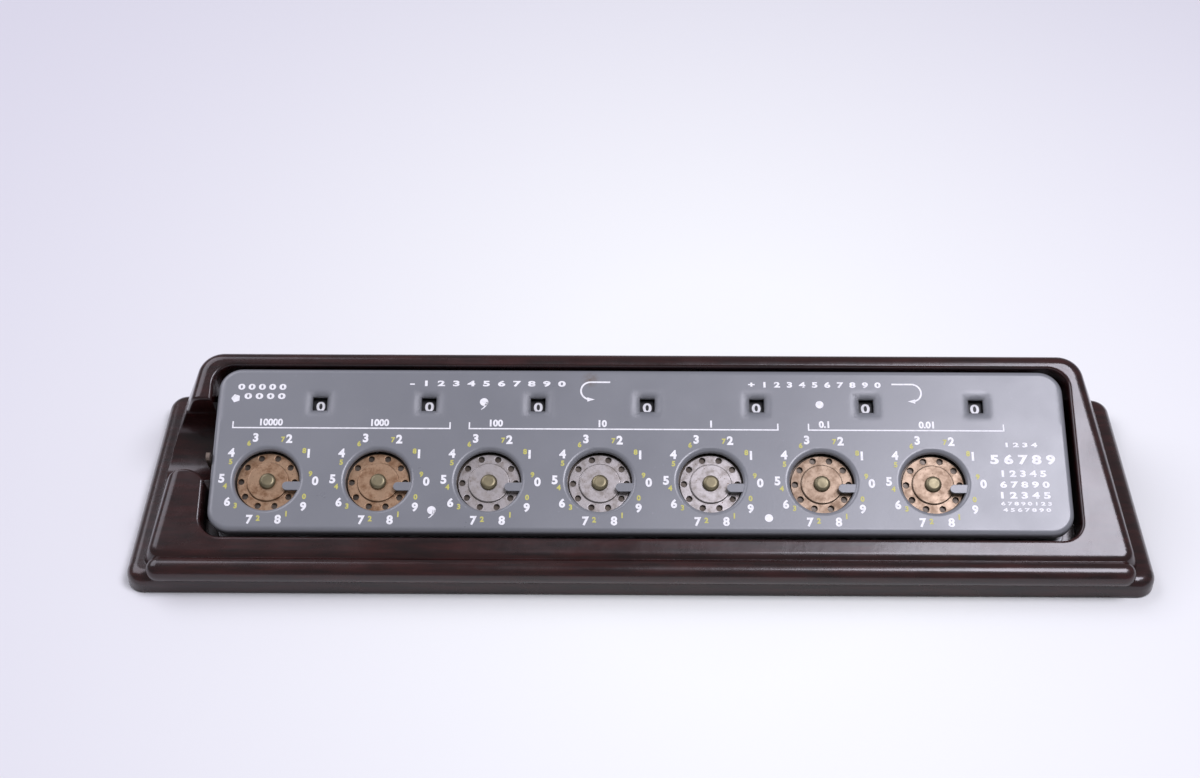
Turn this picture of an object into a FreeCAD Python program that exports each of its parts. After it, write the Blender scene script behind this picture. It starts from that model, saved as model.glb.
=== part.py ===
import FreeCAD, Part
import math
import os
import re
import Sketcher
from FreeCAD import Placement, Rotation, Vector

# Pocket adding machine with seven stylus dials under a sloping steel panel.
# +Z is up, +X to the user's right, +Y away from the user. The origin is on the table, at the
# middle of the machine's outline. The mechanism is built square to the panel: "across" runs
# along X, "up" runs up the slope from the panel's lower edge, "deep" runs into the machine,
# square to the panel's painted face.

SIZES = {
    # outline of the moulded case
    "overall_width": 320.0,
    "overall_depth": 90.0,
    "foot_height": 0.6,
    "plinth_top": 7.0,
    "plinth_corner": 6.0,
    "plinth_round": 3.6,
    "bead_proud": 1.3,
    "bead_radius": 3.8,
    "bead_height": 8.0,
    "bead_end": 153.0,
    "front_wall_setback": 3.9,
    "rim_front_setback": 4.6,
    "rim_back_setback": 68.7,
    "back_foot_setback": 82.2,
    "side_foot": 154.6,
    "side_lean": 0.393,
    "rim_round": 3.6,
    "upper_front_corner": 4.6,
    "upper_back_corner": 8.0,
    "edge_round": 1.0,
    "lean_cut_height": 40.0,
    "case_wall": 3.0,
    "floor_core_height": 5.0,
    "core_overlap": 0.1,
    # panel and the recess that it drops into
    "panel_tilt": 25.2,
    "panel_setback": 12.0,
    "panel_edge_height": 15.5,
    "panel_width": 270.8,
    "panel_length": 56.1,
    "panel_corner": 7.5,
    "panel_sheet": 0.8,
    "panel_flange": 3.6,
    "panel_edge_round": 1.8,
    "recess_side_gap": 2.0,
    "recess_low_gap": 1.7,
    "recess_high_gap": 1.0,
    "recess_corner": 6.5,
    "recess_deep": 12.0,
    "cutter_over": 6.0,
    "drill_over": 1.0,
    # thumb notch in the left rim
    "notch_low": 21.0,
    "notch_high": 44.9,
    "notch_centre_deep": 10.5,
    "notch_radius": 11.7,
    "notch_end_radius": 7.5,
    "notch_end_across": 143.9,
    "notch_into_recess": 0.9,
    # dial row
    "dial_first": -117.4,
    "column_pitch": 34.95,
    "dial_row": 17.5,
    "well_radius": 10.2,
    "well_lip": 1.45,
    "well_collar_wall": 0.8,
    "well_collar_deep": 1.9,
    "stop_drop": 2.1,
    "stop_reach": 5.0,
    "stop_width": 2.8,
    "stop_deep": 0.5,
    "stop_sheet": 0.7,
    "disc_radius": 9.75,
    "disc_top": 2.9,
    "disc_sheet": 0.8,
    "hub_radius": 6.6,
    "hub_rise": 0.6,
    "hub_round": 0.35,
    "stylus_hole_radius": 1.0,
    "stylus_hole_ring": 8.45,
    "stylus_holes": 10,
    # windows
    "window_across": 15.0,
    "window_up": 26.25,
    "window_size": 4.7,
    "window_dish": 8.6,
    "window_dish_deep": 0.7,
    "window_edge": 0.3,
    # gearing
    "gear_teeth": 20,
    "gear_tooth_height": 0.6,
    "gear_root_drop": 1.3,
    "gear_tooth_width": 1.7,
    "tooth_overlap": 0.3,
    "pressure_angle": 20.0,
    "dial_gear_thick": 1.5,
    "inner_hub_radius": 4.0,
    "layer_gap": 0.2,
    "carry_layer": 1.1,
    "digit_ring": 7.8,
    "numeral_disc_radius": 10.7,
    "numeral_disc_thick": 0.7,
    "star_points": 10,
    "star_tip": 11.6,
    "star_root": 9.6,
    "star_tip_width": 0.7,
    "star_base_width": 4.4,
    "zero_lug_reach": 8.5,
    "zero_lug_width": 2.0,
    "zero_lug_thick": 1.1,
    "zero_lug_air": 0.25,
    "carry_lead": 18.0,
    "carry_reach": 16.0,
    "carry_tip_width": 1.2,
    "carry_base_width": 2.8,
    "carry_ring_radius": 6.0,
    "carry_overlap": 1.0,
    # fixed pivots
    "pivot_radius": 1.5,
    "running_clearance": 0.05,
    "end_play": 0.05,
    "dome_radius": 2.65,
    "dome_height": 1.3,
    "dome_flat": 0.1,
    "dial_shoulder_radius": 3.0,
    "numeral_head_radius": 2.6,
    "numeral_head_thick": 0.75,
    "numeral_shoulder_radius": 2.4,
    # mechanism plate and what holds it
    "plate_drop": 0.5,
    "plate_thick": 1.2,
    "plate_half_width": 133.0,
    "plate_low": 0.5,
    "plate_high": 56.0,
    "plate_corner": 3.0,
    "post_radius": 2.2,
    "post_bore": 1.05,
    "post_low": 4.8,
    "post_high": 51.2,
    "screw_head_radius": 2.1,
    "screw_head_thick": 1.2,
    "screw_clearance": 0.15,
    "post_screw_grip": 4.0,
    "lug_inner": 126.0,
    "lug_thick": 1.8,
    "lug_low_end": 8.0,
    "lug_high_start": 50.8,
    "lug_bite": 1.6,
    "mount_screw_across": 129.5,
    "mount_screw_low": 4.0,
    "mount_screw_high": 54.3,
    # detent springs
    "detent_strip": 0.35,
    "detent_up": 13.3,
    "detent_end": 14.2,
    "detent_tail": 3.4,
    "detent_nose_reach": 10.9,
    "detent_nose_width": 3.0,
    "detent_riser": 2.4,
    "detent_foot": 3.6,
    "rivet_radius": 0.7,
    "rivet_head_radius": 1.3,
    "rivet_head_thick": 0.5,
    # zero setting bar, its thumb tab and return spring
    "clear_stroke": 5.0,
    "clear_air": 0.2,
    "bar_thick": 1.2,
    "bar_low": 36.5,
    "bar_high": 48.8,
    "bar_right_over": 4.5,
    "arm_low": 22.0,
    "arm_width": 6.3,
    "zero_finger_width": 4.0,
    "zero_finger_thick": 1.2,
    "zero_finger_air": 0.3,
    "zero_slot_air": 0.4,
    "tab_thick": 1.2,
    "tab_wall_air": 0.35,
    "tab_low": 23.5,
    "tab_length": 2.9,
    "tab_rise": 0.8,
    "tab_round": 1.0,
    "guide_row": 40.0,
    "guide_radius": 1.55,
    "guide_slot_air": 0.2,
    "guide_head_radius": 3.0,
    "guide_head_thick": 1.0,
    "spring_across": -122.0,
    "spring_bar_pin": 38.5,
    "spring_plate_pin": 52.5,
    "spring_pin_radius": 0.8,
    "spring_pin_length": 2.9,
    "spring_deep": 1.8,
    "spring_coil_radius": 1.1,
    "spring_wire": 0.2,
    "spring_turns": 12,
    # bottom cover, its screws and the feet
    "cover_recess": 0.8,
    "cover_thick": 1.0,
    "cover_air": 0.5,
    "cover_corner": 3.5,
    "cover_screw_across": 146.0,
    "cover_screw_front": 12.0,
    "cover_screw_back": 76.0,
    "cover_boss_radius": 3.6,
    "cover_boss_overlap": 1.0,
    "cover_screw_radius": 1.05,
    "cover_screw_length": 7.0,
    "cover_screw_end_air": 0.5,
    "cover_head_radius": 2.0,
    "cover_head_thick": 0.7,
    "foot_radius": 5.0,
    "foot_across": 128.0,
    "foot_front": 14.0,
    "foot_back": 74.0,
}

DIALS = 7
POST_COLUMNS = (0, 2, 3, 5)
GUIDE_COLUMNS = (0, 3, 5)
NAME = re.compile(r"\b[a-z_]+\b")

doc = FreeCAD.newDocument("adding_machine")
sheet = doc.addObject("Spreadsheet::Sheet", "Sizes")
for row, (alias, size) in enumerate(SIZES.items(), start=1):
    sheet.set(f"A{row}", alias)
    sheet.set(f"B{row}", str(size))
    sheet.setAlias(f"B{row}", alias)
doc.recompute()

pieces = []


# Expressions, written with the plain names of the sizes

def cells(text):
    def cell(found):
        return "Sizes." + found.group() if found.group() in SIZES else found.group()

    return NAME.sub(cell, text)


def bind(thing, prop, text):
    thing.setExpression(prop, cells(text))


def number(text):
    found = sheet.evalExpression(cells(text))
    return getattr(found, "Value", found)


# Places in the machine

FRONT = "(-overall_depth / 2 + bead_proud)"
PANEL_Y = f"({FRONT} + panel_setback)"
GEAR_RADIUS = "(hypot(window_across; window_up - digit_ring) / 2)"
MESH_ANGLE = "atan2(window_up - digit_ring; window_across)"
NUMERAL_ROW = "(dial_row + window_up - digit_ring)"
GEAR_TOP = "(disc_top + disc_sheet)"
NUMERAL_GEAR_TOP = "(disc_top + numeral_disc_thick)"
GEAR_BOTTOM = f"({GEAR_TOP} + dial_gear_thick)"
FIRST_LAYER = f"({GEAR_BOTTOM} + layer_gap)"
SECOND_LAYER = f"({FIRST_LAYER} + carry_layer + layer_gap)"
LUG_TOP = f"({SECOND_LAYER} + carry_layer + layer_gap)"
LUG_BOTTOM = f"({LUG_TOP} + zero_lug_thick)"
PLATE_TOP = f"({LUG_BOTTOM} + plate_drop)"
PLATE_BOTTOM = f"({PLATE_TOP} + plate_thick)"
BAR_TOP = f"({PLATE_BOTTOM} + clear_air)"
BAR_BOTTOM = f"({BAR_TOP} + bar_thick)"
RECESS_SIDE = "(panel_width / 2 + recess_side_gap)"
COVER_BOTTOM = "(foot_height + cover_recess)"
FINGER_DROP = "(inner_hub_radius + zero_finger_air)"
FINGER_LOW = f"({NUMERAL_ROW} + {FINGER_DROP} + clear_stroke)"
FINGER_CORNER = f"hypot(zero_finger_width / 2; {FINGER_DROP})"
LUG_ANGLE = (
    f"(atan2({FINGER_DROP}; zero_finger_width / 2)"
    f" - asin((zero_lug_width / 2 + zero_lug_air) / {FINGER_CORNER}))"
)


def dial_across(column):
    return f"(dial_first + {column} * column_pitch)"


def numeral_across(column):
    return f"({dial_across(column)} + window_across)"


def between_dials(column):
    return f"({dial_across(column)} + column_pitch / 2)"


def between_numerals(column):
    return f"({numeral_across(column)} + column_pitch / 2)"


def slope_y(up, deep="0"):
    return f"({PANEL_Y} + ({up}) * cos(panel_tilt) + ({deep}) * sin(panel_tilt))"


def slope_z(up, deep="0"):
    return f"(panel_edge_height + ({up}) * sin(panel_tilt) - ({deep}) * cos(panel_tilt))"


def seat(piece, across="0", up="0", deep="0"):
    place = f"vector({across}; {slope_y(up, deep)}; {slope_z(up, deep)})"
    bind(piece, "Placement", f"placement({place}; rotation(vector(1; 0; 0); panel_tilt))")
    return piece


def node(piece, label):
    piece.Label = label
    pieces.append(piece)
    return piece


# Sketches

def new_body(name):
    return doc.addObject("PartDesign::Body", name)


def origin_plane(body, role):
    return next(f for f in body.Origin.OriginFeatures if f.Role == role)


def sketch(body, level="0", turn="0", role="XY_Plane"):
    made = body.newObject("Sketcher::SketchObject", body.Name + "_sketch")
    made.AttachmentSupport = (origin_plane(body, role), [""])
    made.MapMode = "FlatFace"
    bind(made, "AttachmentOffset.Base.z", level)
    bind(made, "AttachmentOffset.Rotation.Angle", turn)
    return made


def fix(outline, shape, point, x, y):
    for kind, axis, text in (("DistanceX", -2, x), ("DistanceY", -1, y)):
        if text == "0":
            outline.addConstraint(Sketcher.Constraint("PointOnObject", shape, point, axis))
        else:
            made = Sketcher.Constraint(kind, -1, 1, shape, point, number(text))
            bind(outline, f"Constraints[{outline.addConstraint(made)}]", text)


def circle(outline, x, y, radius):
    ring = Part.Circle(Vector(number(x), number(y), 0), Vector(0, 0, 1), number(radius))
    shape = outline.addGeometry(ring)
    fix(outline, shape, 3, x, y)
    made = outline.addConstraint(Sketcher.Constraint("Radius", shape, number(radius)))
    bind(outline, f"Constraints[{made}]", radius)


def polygon(outline, *points):
    spots = [Vector(number(x), number(y), 0) for x, y in points]
    lines = []
    for start, end in zip(spots, spots[1:] + spots[:1]):
        lines.append(outline.addGeometry(Part.LineSegment(start, end)))
    for here, after in zip(lines, lines[1:] + lines[:1]):
        outline.addConstraint(Sketcher.Constraint("Coincident", here, 2, after, 1))
    for line, (x, y) in zip(lines, points):
        fix(outline, line, 1, x, y)


def rectangle(outline, left, right, low, high):
    polygon(outline, (left, low), (right, low), (right, high), (left, high))


def rounded_rectangle(outline, left, right, low, high, radius):
    x0, x1, y0, y1, r = (number(text) for text in (left, right, low, high, radius))
    corners = ((x1 - r, y0 + r), (x1 - r, y1 - r), (x0 + r, y1 - r), (x0 + r, y0 + r))
    lines = []
    arcs = []
    for turn, (x, y) in enumerate(corners):
        start = math.radians(90 * turn - 90)
        ring = Part.Circle(Vector(x, y, 0), Vector(0, 0, 1), r)
        arc = Part.ArcOfCircle(ring, start, start + math.pi / 2)
        before = corners[turn - 1]
        out = Vector(r * math.cos(start), r * math.sin(start), 0)
        line = Part.LineSegment(Vector(*before, 0) + out, Vector(x, y, 0) + out)
        lines.append(outline.addGeometry(line))
        arcs.append(outline.addGeometry(arc))
    for turn in range(4):
        following = lines[(turn + 1) % 4]
        kind = "Horizontal" if turn % 2 == 0 else "Vertical"
        outline.addConstraint(Sketcher.Constraint(kind, lines[turn]))
        outline.addConstraint(Sketcher.Constraint("Tangent", lines[turn], 2, arcs[turn], 1))
        outline.addConstraint(Sketcher.Constraint("Tangent", arcs[turn], 2, following, 1))
        if turn:
            outline.addConstraint(Sketcher.Constraint("Equal", arcs[0], arcs[turn]))
    made = outline.addConstraint(Sketcher.Constraint("Radius", arcs[0], r))
    bind(outline, f"Constraints[{made}]", radius)
    sides = (("DistanceY", low), ("DistanceX", right), ("DistanceY", high), ("DistanceX", left))
    for line, (kind, text) in zip(lines, sides):
        made = outline.addConstraint(Sketcher.Constraint(kind, -1, 1, line, 1, number(text)))
        bind(outline, f"Constraints[{made}]", text)


def slot(outline, x, low, high, radius):
    cx, y0, y1, r = (number(text) for text in (x, low, high, radius))
    arcs = []
    for y, start in ((y1, 0.0), (y0, math.pi)):
        ring = Part.Circle(Vector(cx, y, 0), Vector(0, 0, 1), r)
        arcs.append(outline.addGeometry(Part.ArcOfCircle(ring, start, start + math.pi)))
    left = outline.addGeometry(Part.LineSegment(Vector(cx - r, y1, 0), Vector(cx - r, y0, 0)))
    right = outline.addGeometry(Part.LineSegment(Vector(cx + r, y0, 0), Vector(cx + r, y1, 0)))
    top, bottom = arcs
    for first, second in ((top, left), (left, bottom), (bottom, right), (right, top)):
        outline.addConstraint(Sketcher.Constraint("Tangent", first, 2, second, 1))
    outline.addConstraint(Sketcher.Constraint("Equal", top, bottom))
    fix(outline, top, 3, x, high)
    fix(outline, bottom, 3, x, low)
    made = outline.addConstraint(Sketcher.Constraint("Radius", top, r))
    bind(outline, f"Constraints[{made}]", radius)


# Features

def feature(body, kind, profile):
    made = body.newObject("PartDesign::" + kind, f"{body.Name}_{kind.lower()}")
    made.Profile = profile
    profile.Visibility = False
    return made


def pad(body, profile, length):
    made = feature(body, "Pad", profile)
    bind(made, "Length", length)
    made.Reversed = True
    return made


def pad_both_ways(body, profile, length):
    made = feature(body, "Pad", profile)
    made.Midplane = True
    bind(made, "Length", length)
    return made


def cut_through(body, profile):
    made = feature(body, "Pocket", profile)
    made.Type = "ThroughAll"
    made.Midplane = True
    return made


def cut(body, profile, length):
    made = feature(body, "Pocket", profile)
    bind(made, "Length", length)
    return made


def around(body, originals, profile, count):
    made = body.newObject("PartDesign::PolarPattern", body.Name + "_ring")
    made.Originals = originals
    made.Axis = (profile, ["N_Axis"])
    made.Angle = 360
    bind(made, "Occurrences", count)
    body.Tip = made
    return made


def along(body, originals, length, count):
    made = body.newObject("PartDesign::LinearPattern", body.Name + "_row")
    made.Originals = originals
    made.Direction = (origin_axis(body), [""])
    bind(made, "Length", length)
    made.Occurrences = count
    body.Tip = made
    return made


def origin_axis(body):
    return next(f for f in body.Origin.OriginFeatures if f.Role == "X_Axis")


def soften(body, base, radius, wanted):
    doc.recompute()
    names = [f"Edge{i}" for i, edge in enumerate(base.Shape.Edges, start=1) if wanted(edge)]
    made = body.newObject("PartDesign::Fillet", body.Name + "_fillet")
    made.Base = (base, names)
    bind(made, "Radius", radius)
    return made


def stack(body, level, thick, outlines):
    # one flat layer, its top "level" deep and its outline drawn by the given calls
    outline = sketch(body, f"-({level})")
    for draw, *values in outlines:
        draw(outline, *values)
    return pad(body, outline, thick)


def block(name, size, place):
    made = doc.addObject("Part::Box", name)
    for prop, text in zip(("Length", "Width", "Height"), size):
        bind(made, prop, text)
    return seat(made, *place)


def join(name, shapes):
    made = doc.addObject("Part::MultiFuse", name)
    made.Shapes = shapes
    return made


def subtract(name, base, tool):
    made = doc.addObject("Part::Cut", name)
    made.Base = base
    made.Tool = tool
    return made


# Moulded case

def case_plinth():
    body = new_body("case_plinth")
    outline = sketch(body, "foot_height")
    sides = ("-overall_width / 2", "overall_width / 2", FRONT, "overall_depth / 2")
    rounded_rectangle(outline, *sides, "plinth_corner")
    raised = pad(body, outline, "plinth_top - foot_height")
    raised.Reversed = False
    top = number("plinth_top")
    soften(body, raised, "plinth_round", lambda edge: edge.BoundBox.ZMin > top - 0.01)
    return body


def rim_height(setback):
    return f"(panel_edge_height + ({setback} - panel_setback) * tan(panel_tilt))"


def case_upper():
    # The front stands up from the bead, the rim lies flush with the panel, the back leans in.
    body = new_body("case_upper")
    outline = sketch(body, role="YZ_Plane")
    root = "(plinth_top - case_wall)"
    polygon(
        outline,
        (f"{FRONT} + front_wall_setback", root),
        (f"{FRONT} + rim_front_setback", rim_height("rim_front_setback")),
        (f"{FRONT} + rim_back_setback", rim_height("rim_back_setback")),
        (f"{FRONT} + back_foot_setback", "plinth_top"),
        (f"{FRONT} + back_foot_setback", root),
    )
    raised = pad_both_ways(body, outline, "2 * (side_foot + case_wall)")
    leaning = sketch(body, role="XZ_Plane")
    top = "(plinth_top + lean_cut_height)"
    for side in ("", "-"):
        inner_low = f"{side}(side_foot + (plinth_top - {root}) * side_lean)"
        inner_top = f"{side}(side_foot - lean_cut_height * side_lean)"
        outer = f"{side}(overall_width / 2 + cutter_over)"
        polygon(leaning, (inner_low, root), (outer, root), (outer, top), (inner_top, top))
    leaned = cut_through(body, leaning)
    doc.recompute()

    def corner(edge):
        box = edge.BoundBox
        return box.XLength > 1 and box.XMax * box.XMin > 0 and box.YLength < 20

    def front_corner(edge):
        return corner(edge) and edge.BoundBox.YMax < 0

    def back_corner(edge):
        return corner(edge) and edge.BoundBox.YMin > 0

    rounded = soften(body, leaned, "upper_front_corner", front_corner)
    rounded = soften(body, rounded, "upper_back_corner", back_corner)
    doc.recompute()
    slope = Vector(0, -math.sin(math.radians(number("panel_tilt"))), 0)
    slope.z = math.cos(math.radians(number("panel_tilt")))
    rim = next(f for f in rounded.Shape.Faces if f.normalAt(0, 0).isEqual(slope, 1e-4))
    soften(body, rounded, "rim_round", lambda edge: any(edge.isSame(e) for e in rim.Edges))
    return body


def case_bead():
    middle_y = f"{FRONT} + bead_radius - bead_proud"
    straight = "(bead_end - bead_radius)"
    shapes = []
    bar = doc.addObject("Part::Cylinder", "case_bead_bar")
    bind(bar, "Radius", "bead_radius")
    bind(bar, "Height", f"2 * {straight}")
    turned = "rotation(vector(0; 1; 0); 90)"
    bind(bar, "Placement", f"placement(vector(-{straight}; {middle_y}; bead_height); {turned})")
    shapes.append(bar)
    for side in ("", "-"):
        ball = doc.addObject("Part::Sphere", "case_bead_end")
        bind(ball, "Radius", "bead_radius")
        place = f"vector({side}{straight}; {middle_y}; bead_height)"
        bind(ball, "Placement", f"placement({place}; {turned})")
        shapes.append(ball)
    return join("case_bead", shapes)


def case_hollow():
    hollow = []
    recess = new_body("case_recess")
    outline = sketch(recess, "cutter_over")
    sides = (f"-{RECESS_SIDE}", RECESS_SIDE, "-recess_low_gap", "panel_length + recess_high_gap")
    rounded_rectangle(outline, *sides, "recess_corner")
    pad(recess, outline, "recess_deep + cutter_over")
    hollow.append(seat(recess))

    core = new_body("case_core")
    outline = sketch(core, role="YZ_Plane")
    low = ("-recess_low_gap", "recess_deep - core_overlap")
    high = ("panel_length + recess_high_gap", "recess_deep - core_overlap")
    back = f"{FRONT} + back_foot_setback - case_wall"
    polygon(
        outline,
        (slope_y(*low), "foot_height / 2"),
        (slope_y(*low), slope_z(*low)),
        (slope_y(*high), slope_z(*high)),
        (back, "plinth_top"),
        (back, "foot_height / 2"),
    )
    pad_both_ways(core, outline, f"2 * {RECESS_SIDE}")
    hollow.append(core)

    floor = new_body("case_floor_core")
    outline = sketch(floor)
    inset = "case_wall + cover_air"
    side = f"(overall_width / 2 - {inset})"
    low, high = f"{FRONT} + {inset}", f"overall_depth / 2 - ({inset})"
    rounded_rectangle(outline, f"-{side}", side, low, high, "cover_corner")
    raised = pad(floor, outline, "floor_core_height")
    raised.Reversed = False
    hollow.append(floor)

    outward = "(overall_width / 2 + cutter_over)"
    inward = f"({RECESS_SIDE} - notch_into_recess)"
    notch = new_body("case_notch")
    outline = sketch(notch, "cutter_over")
    arched_outline(outline, f"-{outward}", f"-{inward}", "notch_low", "notch_high")
    pad(notch, outline, "notch_centre_deep + cutter_over")
    hollow.append(seat(notch))
    drum = doc.addObject("Part::Cylinder", "case_notch_drum")
    bind(drum, "Radius", "notch_radius")
    bind(drum, "Height", f"{outward} - {inward}")
    middle = ("(notch_low + notch_high) / 2", "notch_centre_deep")
    place = f"vector(-{outward}; {slope_y(*middle)}; {slope_z(*middle)})"
    bind(drum, "Placement", f"placement({place}; rotation(vector(0; 1; 0); 90))")
    hollow.append(drum)
    return join("case_hollow", hollow)


def arched_outline(outline, left, right, low, high):
    # the thumb notch seen square to the slope: its low end is an arch that the rim rises to
    radius = number("notch_end_radius")
    centre = Vector(-number("notch_end_across"), number(low) - radius, 0)
    x0, x1, y1 = (number(text) for text in (left, right, high))
    reach = math.acos((x1 - centre.x) / radius)
    ring = Part.Circle(centre, Vector(0, 0, 1), radius)
    arc = outline.addGeometry(Part.ArcOfCircle(ring, reach, math.pi))
    near = Vector(x1, centre.y + radius * math.sin(reach), 0)
    far = Vector(centre.x - radius, centre.y, 0)
    corners = [far, Vector(x0, centre.y, 0), Vector(x0, y1, 0), Vector(x1, y1, 0), near]
    lines = [outline.addGeometry(Part.LineSegment(*pair)) for pair in zip(corners, corners[1:])]
    for here, after in zip(lines, lines[1:]):
        outline.addConstraint(Sketcher.Constraint("Coincident", here, 2, after, 1))
    outline.addConstraint(Sketcher.Constraint("Coincident", lines[-1], 2, arc, 1))
    outline.addConstraint(Sketcher.Constraint("Coincident", arc, 2, lines[0], 1))
    outline.addConstraint(Sketcher.Constraint("Horizontal", lines[0]))
    outline.addConstraint(Sketcher.Constraint("Vertical", lines[1]))
    outline.addConstraint(Sketcher.Constraint("Horizontal", lines[2]))
    outline.addConstraint(Sketcher.Constraint("Vertical", lines[3]))
    fix(outline, arc, 3, "-notch_end_across", f"{low} - notch_end_radius")
    made = outline.addConstraint(Sketcher.Constraint("Radius", arc, radius))
    bind(outline, f"Constraints[{made}]", "notch_end_radius")
    outline.addConstraint(Sketcher.Constraint("Horizontal", arc, 3, arc, 2))
    fix(outline, lines[2], 1, left, high)
    made = outline.addConstraint(Sketcher.Constraint("DistanceX", -1, 1, lines[3], 1, x1))
    bind(outline, f"Constraints[{made}]", right)


def mount_screw_spots():
    return [
        (f"{side}mount_screw_across", up)
        for side in ("-", "")
        for up in ("mount_screw_low", "mount_screw_high")
    ]


def cover_screw_spots():
    return [
        (f"{side}cover_screw_across", f"{FRONT} + {back}")
        for side in ("-", "")
        for back in ("cover_screw_front", "cover_screw_back")
    ]


def case():
    outer = join("case_outside", [case_plinth(), case_upper(), case_bead()])
    added = [subtract("case_shell", outer, case_hollow())]
    length = f"({RECESS_SIDE} + lug_bite - lug_inner)"
    low_up = "(-recess_low_gap - lug_bite)"
    high_up = "lug_high_start"
    low_size = (length, f"lug_low_end - {low_up}", "lug_thick")
    high_size = (length, f"panel_length + recess_high_gap + lug_bite - {high_up}", "lug_thick")
    deep = f"{PLATE_BOTTOM} + lug_thick"
    for left in (f"-({RECESS_SIDE} + lug_bite)", "lug_inner"):
        added.append(block("case_lug", low_size, (left, low_up, deep)))
        added.append(block("case_lug", high_size, (left, high_up, deep)))
    bosses = new_body("case_bosses")
    outline = sketch(bosses, f"{COVER_BOTTOM} + cover_thick")
    for x, y in cover_screw_spots():
        circle(outline, x, y, "cover_boss_radius")
    raised = pad(bosses, outline, f"floor_core_height + cover_boss_overlap - {COVER_BOTTOM} - cover_thick")
    raised.Reversed = False
    added.append(bosses)

    holes = new_body("case_lug_holes")
    outline = sketch(holes, f"-({PLATE_BOTTOM} - drill_over)")
    for across, up in mount_screw_spots():
        circle(outline, across, up, "post_bore + screw_clearance")
    pad(holes, outline, "lug_thick + 2 * drill_over")
    seat(holes)
    blind = new_body("case_boss_holes")
    outline = sketch(blind)
    for x, y in cover_screw_spots():
        circle(outline, x, y, "cover_screw_radius")
    raised = pad(blind, outline, f"{COVER_BOTTOM} + cover_screw_length + cover_screw_end_air")
    raised.Reversed = False
    whole = join("case_with_lugs", added)
    drilled = subtract("case_drilled", whole, join("case_holes", [holes, blind]))
    body = new_body("case_body")
    body.BaseFeature = drilled
    doc.recompute()
    soften(body, body.Group[0], "edge_round", rim_edge)
    return node(body, "case")


def on_slope(point):
    # a point's places across, up and deep
    tilt = math.radians(number("panel_tilt"))
    y = point.y - number(PANEL_Y)
    z = point.z - number("panel_edge_height")
    up = y * math.cos(tilt) + z * math.sin(tilt)
    deep = y * math.sin(tilt) - z * math.cos(tilt)
    return point.x, up, deep


def rim_edge(edge):
    # an edge in the rim's face, round the panel's recess or at an end of the thumb notch
    if edge.Degenerated:
        return False
    spots = [on_slope(spot) for spot in edge.discretize(3)]
    if any(abs(deep) > 0.01 for _, _, deep in spots):
        return False
    side = number(RECESS_SIDE) + 0.01
    top = number("panel_length + recess_high_gap") + 0.01
    low = number("notch_low - notch_end_radius")
    high = number("notch_high") + 0.01
    around_recess = all(abs(across) < side and up < top for across, up, _ in spots)
    at_notch = all(across < 0 and low < up < high for across, up, _ in spots)
    return around_recess or at_notch


# Bottom cover with its screws and feet

def bottom_cover():
    body = new_body("bottom_cover_body")
    outline = sketch(body, COVER_BOTTOM)
    inset = "(case_wall + 2 * cover_air)"
    side = f"(overall_width / 2 - {inset})"
    low, high = f"{FRONT} + {inset}", f"overall_depth / 2 - {inset}"
    rounded_rectangle(outline, f"-{side}", side, low, high, "cover_corner")
    for x, y in cover_screw_spots():
        circle(outline, x, y, "cover_screw_radius + screw_clearance")
    raised = pad(body, outline, "cover_thick")
    raised.Reversed = False
    return node(body, "bottom_cover")


def cover_screws():
    body = new_body("cover_screws_body")
    for radius, low, thick in (
        ("cover_head_radius", f"{COVER_BOTTOM} - cover_head_thick", "cover_head_thick"),
        ("cover_screw_radius", COVER_BOTTOM, "cover_screw_length"),
    ):
        outline = sketch(body, low)
        for x, y in cover_screw_spots():
            circle(outline, x, y, radius)
        pad(body, outline, thick).Reversed = False
    return node(body, "cover_screws")


def rubber_feet():
    body = new_body("rubber_feet_body")
    outline = sketch(body)
    for side in ("-", ""):
        for back in ("foot_front", "foot_back"):
            circle(outline, f"{side}foot_across", f"{FRONT} + {back}", "foot_radius")
    pad(body, outline, COVER_BOTTOM).Reversed = False
    return node(body, "rubber_feet")


# Painted steel panel, pressed from one sheet

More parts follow.
